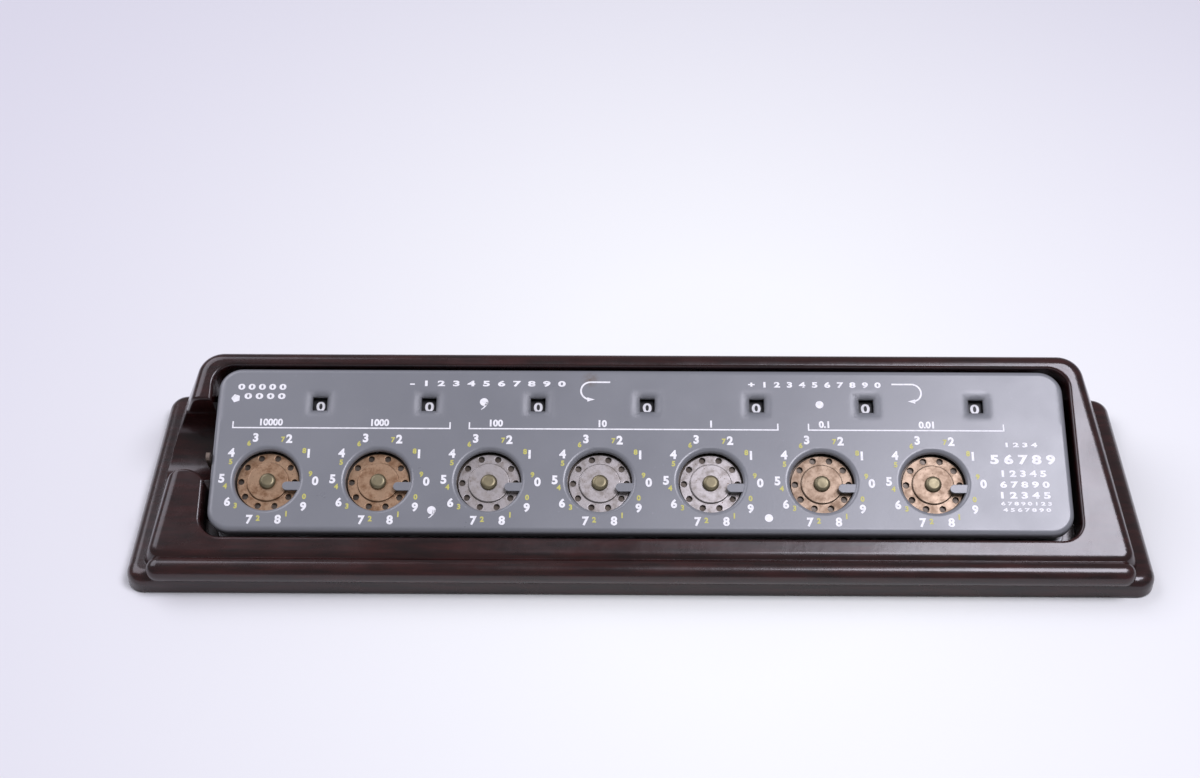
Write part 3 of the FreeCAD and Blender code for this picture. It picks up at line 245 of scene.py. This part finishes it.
def turnedMetal(number):
    # each dial's stains lie elsewhere, because the pattern starts from its own centre
    material, tree, shader = newMaterial(f"dialMetal{number}")
    tone = dialTones[number]
    centre = onSlope @ Vector((dialAcross(number) * mm, slope["dialRow"] * mm, 0))
    place = placeOn(tree, move=centre + Vector((0, 0, agedMetal["shift"] * number)), turn=slope["tilt"])
    stain = noise(tree, place, agedMetal["stainSize"], 6, 0.65)
    colour = ramp(tree, stain, (0.36, tone["stained"]), (0.56, tone["bright"]))
    pits = ramp(tree, noise(tree, place, agedMetal["pitSize"], 2), (0.66, (0, 0, 0)), (0.74, (1, 1, 1)))
    colour = blendColour(tree, pits, colour, agedMetal["pit"])
    tree.links.new(colour, shader.inputs["Base Color"])
    shader.inputs["Metallic"].default_value = agedMetal["metal"]
    rough = span(tree, stain, agedMetal["rough"], agedMetal["smooth"], 0.35, 0.65)
    tree.links.new(rough, shader.inputs["Roughness"])
    grain = noise(tree, place, agedMetal["grainSize"], 3)
    bump(tree, shader, grain, agedMetal["grainDepth"], soften=agedMetal["edge"])
    return material


def plainFinish(name, colour, second, metallic, roughness, grain=0.0012, depth=0.00002, soften=None):
    material, tree, shader = newMaterial(name)
    place = placeOn(tree)
    colour = ramp(tree, noise(tree, place, grain * 6, 4), (0.35, colour), (0.7, second))
    tree.links.new(colour, shader.inputs["Base Color"])
    shader.inputs["Metallic"].default_value = metallic
    rough = span(tree, noise(tree, place, grain * 3, 3), roughness, roughness + 0.14, 0.3, 0.7)
    tree.links.new(rough, shader.inputs["Roughness"])
    bump(tree, shader, noise(tree, place, grain, 2), depth, soften=soften)
    return material


finishes = {
    "case": mouldedPlastic(),
    "face_panel": panelEnamel(),
    # the dial gears' colour is partly dark oiled steel and partly painted shade: it is darkened so the disc
    # holes and the gap round each disc look dark
    "dial_gear": plainFinish("gearSteelPaintedShade", (0.13, 0.110, 0.092), (0.06, 0.048, 0.038), 0.85, 0.36, soften=0.12),
    "numeral_gear": plainFinish("wheelBrass", (0.30, 0.21, 0.11), (0.16, 0.11, 0.065), 0.85, 0.38),
    "carry_finger": plainFinish("fingerSteel", (0.40, 0.40, 0.39), (0.26, 0.26, 0.25), 0.9, 0.32),
    "numeral_disc": plainFinish("wheelBlack", (0.006, 0.006, 0.007), (0.012, 0.012, 0.013), 0.0, 0.42),
    "detent_spring": plainFinish("springStrip", (0.30, 0.30, 0.31), (0.20, 0.20, 0.22), 0.95, 0.26),
    "dial_pivots": plainFinish("rivetBrass", (0.27, 0.235, 0.145), (0.15, 0.130, 0.078), 0.8, 0.36, 0.0007),
    "numeral_pivots": plainFinish("turnedSteel", (0.42, 0.42, 0.41), (0.30, 0.30, 0.29), 0.9, 0.30),
    "mechanism_plate": plainFinish("platedSteel", (0.40, 0.41, 0.42), (0.29, 0.29, 0.29), 0.9, 0.34, 0.002),
    "clear_bar": plainFinish("barSteel", (0.38, 0.39, 0.40), (0.26, 0.26, 0.26), 0.9, 0.36, 0.002),
    "clear_tab": plainFinish("tabSteel", (0.26, 0.21, 0.17), (0.12, 0.09, 0.075), 0.7, 0.36, 0.0007),
    "bottom_cover": plainFinish("coverPaint", (0.020, 0.020, 0.021), (0.034, 0.034, 0.035), 0.0, 0.50, 0.001),
    "rubber_feet": plainFinish("footRubber", (0.012, 0.012, 0.012), (0.022, 0.021, 0.020), 0.0, 0.72, 0.0009),
    "clear_spring": plainFinish("springWire", (0.30, 0.30, 0.31), (0.22, 0.22, 0.23), 0.95, 0.26, 0.0006),
}
screwSteel = plainFinish("screwSteel", (0.42, 0.42, 0.42), (0.27, 0.27, 0.27), 0.9, 0.32, 0.0008)
for number in range(1, dialCount + 1):
    finishes[f"dial_disc_{number}"] = turnedMetal(number)


def finishOf(node):
    stem = node.rstrip("0123456789").rstrip("_")
    return finishes.get(node) or finishes.get(stem) or screwSteel


for node, item in nodes.items():
    item.data.materials.clear()
    item.data.materials.append(finishOf(node))
print("finishes set on", len(nodes), "nodes")


# Printed figures

ink = {
    "white": (0.90, 0.90, 0.91),
    "yellow": (0.58, 0.55, 0.13),
    "fade": 0.80,
    "wearSize": 0.0012,
    "rough": 0.45,
    "thick": 0.03,
}


def inkFinish(name, colour):
    material, tree, shader = newMaterial(name)
    place = placeOn(tree)
    faded = tuple(ink["fade"] * part for part in colour)
    tone = ramp(tree, noise(tree, place, ink["wearSize"], 4), (0.30, faded), (0.52, colour))
    tree.links.new(tone, shader.inputs["Base Color"])
    shader.inputs["Roughness"].default_value = ink["rough"]
    return material


whiteInk = inkFinish("whiteInk", ink["white"])
yellowInk = inkFinish("yellowInk", ink["yellow"])


def drawFigure(sheet, text, across, up, height, turn=0.0, bold=0.0, width=None):
    # the text's middle comes to the place given, and its figures to the height given
    curve = bpy.data.curves.new("figure", "FONT")
    curve.body = text
    curve.offset = bold
    curve.resolution_u = 5
    item = bpy.data.objects.new("figure", curve)
    bpy.context.scene.collection.objects.link(item)
    bpy.context.view_layer.update()
    flat = bpy.data.meshes.new_from_object(item.evaluated_get(bpy.context.evaluated_depsgraph_get()))
    xs = [point.co.x for point in flat.vertices]
    ys = [point.co.y for point in flat.vertices]
    tall = height / (max(ys) - min(ys))
    wide = width / (max(xs) - min(xs)) if width else tall
    centre = Matrix.Translation((-(max(xs) + min(xs)) / 2, -(max(ys) + min(ys)) / 2, 0))
    size = Matrix.Diagonal((wide, tall, 1, 1))
    place = Matrix.Translation((across, up, 0)) @ Matrix.Rotation(math.radians(turn), 4, "Z")
    flat.transform(place @ size @ centre)
    sheet.from_mesh(flat)
    bpy.data.objects.remove(item)
    bpy.data.meshes.remove(flat)


def drawBar(sheet, left, right, low, high):
    made = bmesh.ops.create_grid(sheet, x_segments=1, y_segments=1, size=0.5)["verts"]
    bmesh.ops.scale(sheet, verts=made, vec=(right - left, high - low, 1))
    bmesh.ops.translate(sheet, verts=made, vec=((left + right) / 2, (low + high) / 2, 0))


def drawDisc(sheet, across, up, radius, sides=24, turn=0.0):
    made = bmesh.ops.create_circle(sheet, cap_ends=True, segments=sides, radius=radius)["verts"]
    spin = Matrix.Rotation(math.radians(turn), 3, "Z")
    bmesh.ops.rotate(sheet, verts=made, matrix=spin)
    bmesh.ops.translate(sheet, verts=made, vec=(across, up, 0))


def finishPrint(sheet, name, body, material, deep):
    # figures in millimetres on the slope become a piece in the machine's place
    bmesh.ops.scale(sheet, verts=sheet.verts, vec=(mm, mm, mm))
    bmesh.ops.translate(sheet, verts=sheet.verts, vec=(0, 0, (ink["thick"] - deep) * mm))
    bmesh.ops.transform(sheet, verts=sheet.verts, matrix=onSlope)
    mesh = bpy.data.meshes.new(name)
    bmesh.ops.recalc_face_normals(sheet, faces=sheet.faces)
    outward = onSlope.to_3x3() @ Vector((0, 0, 1))
    turned = [face for face in sheet.faces if face.normal.dot(outward) < 0]
    bmesh.ops.reverse_faces(sheet, faces=turned)
    sheet.to_mesh(mesh)
    sheet.free()
    mesh.materials.append(material)
    piece = bpy.data.objects.new(name, mesh)
    bpy.context.scene.collection.objects.link(piece)
    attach(piece, body)
    return piece


dialPrint = {
    "largeHeight": 3.05,
    "smallHeight": 1.85,
    "bold": 0.045,
    "large": ((15.4, -0.65), (12.7, 8.7), (6.2, 13.75), (-4.5, 14.1), (-11.8, 8.9),
              (-14.15, 0.05), (-11.7, -7.75), (-4.3, -13.7), (4.55, -13.6), (12.2, -9.3)),
    "small": ((12.25, -5.9), (7.05, -11.75), (-1.65, -13.25), (-9.05, -9.1), (-12.85, -2.5),
              (-11.75, 5.75), (-6.45, 12.15), (4.25, 13.5), (11.25, 9.65), (13.75, 1.75)),
}
panelPrint = {
    "brackets": ((-129.75, -60.1), (-54.4, 44.1), (53.4, 115.65)),
    "bracketRow": 35.0,
    "lineWidth": 0.45,
    "tick": 2.2,
    "places": (("10000", -117.3), ("1000", -82.65), ("100", -45.6), ("10", -11.75), ("1", 22.7),
               ("0.1", 58.55), ("0.01", 91.0)),
    "placeRow": 36.95,
    "placeHeight": 2.45,
    "legends": (("-  1  2  3  4  5  6  7  8  9  0", -48.75, 50.0),
                ("+  1  2  3  4  5  6  7  8  9  0", 56.0, 42.5)),
    "legendRow": 50.8,
    "legendHeight": 2.1,
    "commas": ((-49.75, 44.3), (-65.0, 7.2)),
    "commaHead": 1.35,
    "commaTail": (0.1, 1.0, -1.6),
    "commaTurn": -64,
    "dots": ((57.4, 43.85), (40.2, 5.1)),
    "dotSize": 1.3,
    "clearNote": (("0 0 0 0 0", -121.2, 49.3, 15.5), ("0 0 0 0", -120.1, 46.05, 13.2)),
    "marker": (-129.4, 45.25, 1.5),
    "tally": (("1 2 3 4", 30.2, 1.6, 10.0), ("5 6 7 8 9", 25.2, 3.4, 20.5), ("1 2 3 4 5", 20.4, 2.3, 14.0),
              ("6 7 8 9 0", 16.7, 2.3, 15.5), ("1 2 3 4 5", 13.1, 2.3, 15.5),
              ("6 7 8 9 0 1 2 3", 10.3, 1.3, 15.8), ("4 5 6 7 8 9 0", 8.2, 1.3, 15.0)),
    "tallyAcross": 120.6,
    "hooks": ((-15.75, 51.45, 3.05, -1), (87.0, 51.1, 3.0, 1)),
    "hookLine": 0.55,
    "hookLead": 6.3,
    "hookHead": (2.4, 1.5),
}


def drawTaper(sheet, start, centre, turn, steps, shrink):
    # an edge swept round a centre while it shortens, for a comma's tail
    ends = [sheet.verts.new((*spot, 0)) for spot in start]
    edges = [sheet.edges.new(ends)]
    for step in range(steps):
        made = bmesh.ops.extrude_edge_only(sheet, edges=edges)["geom"]
        ends = [item for item in made if isinstance(item, bmesh.types.BMVert)]
        edges = [item for item in made if isinstance(item, bmesh.types.BMEdge)]
        spin = Matrix.Rotation(math.radians(turn / steps), 3, "Z")
        bmesh.ops.rotate(sheet, verts=ends, cent=(*centre, 0), matrix=spin)
        middle = (ends[0].co + ends[1].co) / 2
        for point in ends:
            point.co = middle + (point.co - middle) * shrink


def drawComma(sheet, across, up):
    head = panelPrint["commaHead"]
    drawDisc(sheet, across, up, head)
    inner, outer, centre = (across + head * share for share in panelPrint["commaTail"])
    drawTaper(sheet, ((inner, up), (outer, up)), (centre, up), panelPrint["commaTurn"], 10, 0.84)


def drawHook(sheet, across, top, radius, side):
    # an arrow that doubles back: a straight, a half round and a pointed head
    half = panelPrint["hookLine"] / 2
    start = across - side * panelPrint["hookLead"]
    drawBar(sheet, min(start, across), max(start, across), top - half, top + half)
    ends = [sheet.verts.new((across, top + shift, 0)) for shift in (-half, half)]
    line = sheet.edges.new(ends)
    centre = (across, top - radius, 0)
    bmesh.ops.spin(sheet, geom=[*ends, line], cent=centre, axis=(0, 0, 1), angle=-side * math.pi, steps=20)
    long, tall = panelPrint["hookHead"]
    tip = bmesh.ops.create_circle(sheet, cap_ends=True, segments=3, radius=1.0)["verts"]
    bmesh.ops.rotate(sheet, verts=tip, matrix=Matrix.Rotation(math.radians(90 * side), 3, "Z"))
    bmesh.ops.scale(sheet, verts=tip, vec=(long / 1.5, tall / 1.732, 1))
    bmesh.ops.translate(sheet, verts=tip, vec=(across + side * 0.2, top - 2 * radius, 0.004))


def printPanel():
    white = bmesh.new()
    yellow = bmesh.new()
    bold = dialPrint["bold"]
    rings = ((white, "large", "largeHeight"), (yellow, "small", "smallHeight"))
    for number in range(1, dialCount + 1):
        across = dialAcross(number)
        for sheet, ring, height in rings:
            for digit, (x, y) in enumerate(dialPrint[ring]):
                drawFigure(sheet, str(digit), across + x, slope["dialRow"] + y, dialPrint[height], bold=bold)
    row, half = panelPrint["bracketRow"], panelPrint["lineWidth"] / 2
    for left, right in panelPrint["brackets"]:
        drawBar(white, left, right, row - half, row + half)
        drawBar(white, left, left + 2 * half, row + half, row + panelPrint["tick"])
        drawBar(white, right - 2 * half, right, row + half, row + panelPrint["tick"])
    for text, across in panelPrint["places"]:
        drawFigure(white, text, across, panelPrint["placeRow"], panelPrint["placeHeight"], bold=bold)
    small = panelPrint["legendHeight"]
    for text, across, width in panelPrint["legends"]:
        drawFigure(white, text, across, panelPrint["legendRow"], small, bold=bold, width=width)
    for text, across, up, width in panelPrint["clearNote"]:
        drawFigure(white, text, across, up, small, bold=bold, width=width)
    for text, up, height, width in panelPrint["tally"]:
        drawFigure(white, text, panelPrint["tallyAcross"], up, height, bold=bold, width=width)
    for across, up in panelPrint["commas"]:
        drawComma(white, across, up)
    for across, up in panelPrint["dots"]:
        drawDisc(white, across, up, panelPrint["dotSize"])
    drawDisc(white, *panelPrint["marker"], sides=5, turn=90)
    for across, top, radius, side in panelPrint["hooks"]:
        drawHook(white, across, top, radius, side)
    finishPrint(white, "panelFiguresWhite", "frame", whiteInk, 0)
    finishPrint(yellow, "panelFiguresYellow", "frame", yellowInk, 0)


wheelPrint = {"ring": 7.8, "height": 3.4, "width": 2.85, "bold": 0.03, "deep": 2.9}


def printWheel(number):
    sheet = bmesh.new()
    across = dialAcross(number) + slope["windowAcross"]
    for digit in range(10):
        angle = math.radians(90 - 36 * digit)
        x = across + wheelPrint["ring"] * math.cos(angle)
        y = slope["wheelRow"] + wheelPrint["ring"] * math.sin(angle)
        shape = {"bold": wheelPrint["bold"], "width": wheelPrint["width"]}
        drawFigure(sheet, str(digit), x, y, wheelPrint["height"], turn=-36 * digit, **shape)
    finishPrint(sheet, f"wheelFigures{number}", f"numeral_{number}", whiteInk, wheelPrint["deep"])


printPanel()
for number in range(1, dialCount + 1):
    printWheel(number)
print("figures printed")


# Studio: a pale table, soft light and the photograph's viewpoint

studio = {
    # the table's middle colour is painted light and its sides' colour is painted shade, blended over the reach
    # given below
    "tablePaintedLightMiddle": (0.90, 0.92, 0.88),
    "tablePaintedShadeSides": (0.72, 0.71, 0.76),
    "tableReach": 3.0,
    "paintedLightAt": (0.03, 0.02, 0),
    "paintedLightReach": (0.48, 0.75, 0.75),
    "world": 0.26,
    "worldColour": (0.93, 0.93, 1.0),
    "lamps": (
        ("softboxRight", (0.46, -0.22, 1.14), (0.62, 0.50), 11.2),
        ("softboxLeft", (-0.90, 0.46, 1.15), (1.3, 1.0), 11.2),
    ),
    "lampColour": (0.90, 0.88, 1.0),
    "cameraPlace": (-0.006403, -0.470665, 0.443205),
    "cameraTilt": 49.917,
    "cameraRoll": -0.236,
    "cameraYaw": 0.749,
    "lens": 59.1,
}


def buildStudio():
    sheet = bmesh.new()
    bmesh.ops.create_grid(sheet, x_segments=8, y_segments=8, size=studio["tableReach"])
    mesh = bpy.data.meshes.new("table")
    sheet.to_mesh(mesh)
    sheet.free()
    material, tree, shader = newMaterial("tablePaintedLightPool")
    shader.inputs["Roughness"].default_value = 0.9
    shader.inputs["Specular IOR Level"].default_value = 0.2
    # the table is painted lighter in the middle and darker, more lavender, towards the sides: a painted pool
    # of light with painted shade round it
    spot = addNode(tree, "ShaderNodeTexGradient", gradient_type="QUADRATIC_SPHERE")
    tree.links.new(placeOn(tree, studio["paintedLightAt"], 0, studio["paintedLightReach"]), spot.inputs["Vector"])
    colour = ramp(tree, spot.outputs["Fac"], (0.05, studio["tablePaintedShadeSides"]), (0.75, studio["tablePaintedLightMiddle"]))
    tree.links.new(colour, shader.inputs["Base Color"])
    mesh.materials.append(material)
    table = bpy.data.objects.new("table", mesh)
    bpy.context.scene.collection.objects.link(table)
    world = bpy.data.worlds.new("studioLight")
    bpy.context.scene.world = world
    world.use_nodes = True
    sky = world.node_tree.nodes["Background"]
    sky.inputs["Color"].default_value = (*studio["worldColour"], 1)
    sky.inputs["Strength"].default_value = studio["world"]
    for name, place, (wide, tall), power in studio["lamps"]:
        lamp = bpy.data.lights.new(name, "AREA")
        lamp.shape = "RECTANGLE"
        lamp.size, lamp.size_y = wide, tall
        lamp.energy = power
        lamp.color = studio["lampColour"]
        item = bpy.data.objects.new(name, lamp)
        item.location = place
        item.rotation_euler = (-Vector(place)).to_track_quat("-Z", "Y").to_euler()
        bpy.context.scene.collection.objects.link(item)


def buildCamera():
    camera = bpy.data.cameras.new("camera")
    camera.lens = studio["lens"]
    camera.sensor_width = 36
    camera.sensor_fit = "HORIZONTAL"
    item = bpy.data.objects.new("camera", camera)
    yaw = Matrix.Rotation(math.radians(studio["cameraYaw"]), 4, "Z")
    tilt = Matrix.Rotation(math.radians(studio["cameraTilt"]), 4, "X")
    roll = Matrix.Rotation(math.radians(studio["cameraRoll"]), 4, "Z")
    item.matrix_world = Matrix.Translation(studio["cameraPlace"]) @ yaw @ tilt @ roll
    bpy.context.scene.collection.objects.link(item)
    bpy.context.scene.camera = item


buildStudio()
buildCamera()
bpy.context.scene.view_settings.view_transform = "Standard"
print("studio ready")
